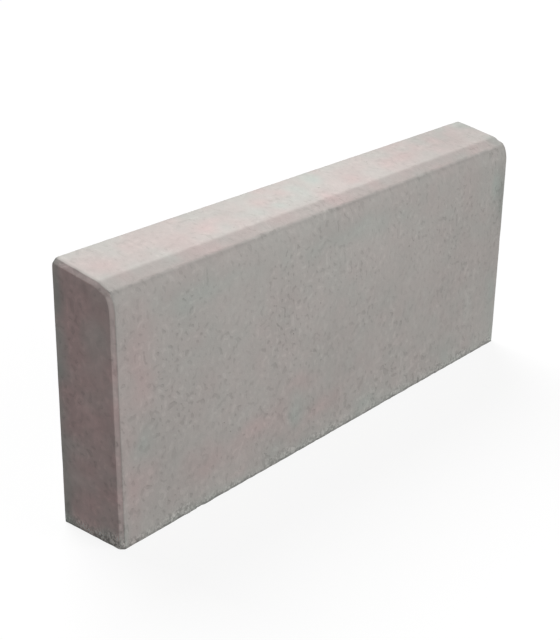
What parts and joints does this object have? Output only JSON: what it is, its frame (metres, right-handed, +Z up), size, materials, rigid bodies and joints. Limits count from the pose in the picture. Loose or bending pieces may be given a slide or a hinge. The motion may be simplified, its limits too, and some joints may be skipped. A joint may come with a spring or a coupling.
{
  "type": "concrete kerb stone",
  "caption": "Straight cast concrete kerb stone with a battered face, rounded nose, splayed arris, sloping top and slightly drafted, bevelled ends, laid end to end as a road or path edge.",
  "frame": {"origin": "middle of the bed, the flat underside that the stone stands on", "axes": "+X along the stone's length, +Y from the face towards the back, +Z up from the bed to the top"},
  "size_m": [0.5, 0.06, 0.21],
  "materials": {
    "concrete": "matte"
  },
  "bodies": {
    "root": {"kerb_stone": "concrete"}
  },
  "joints": []
}
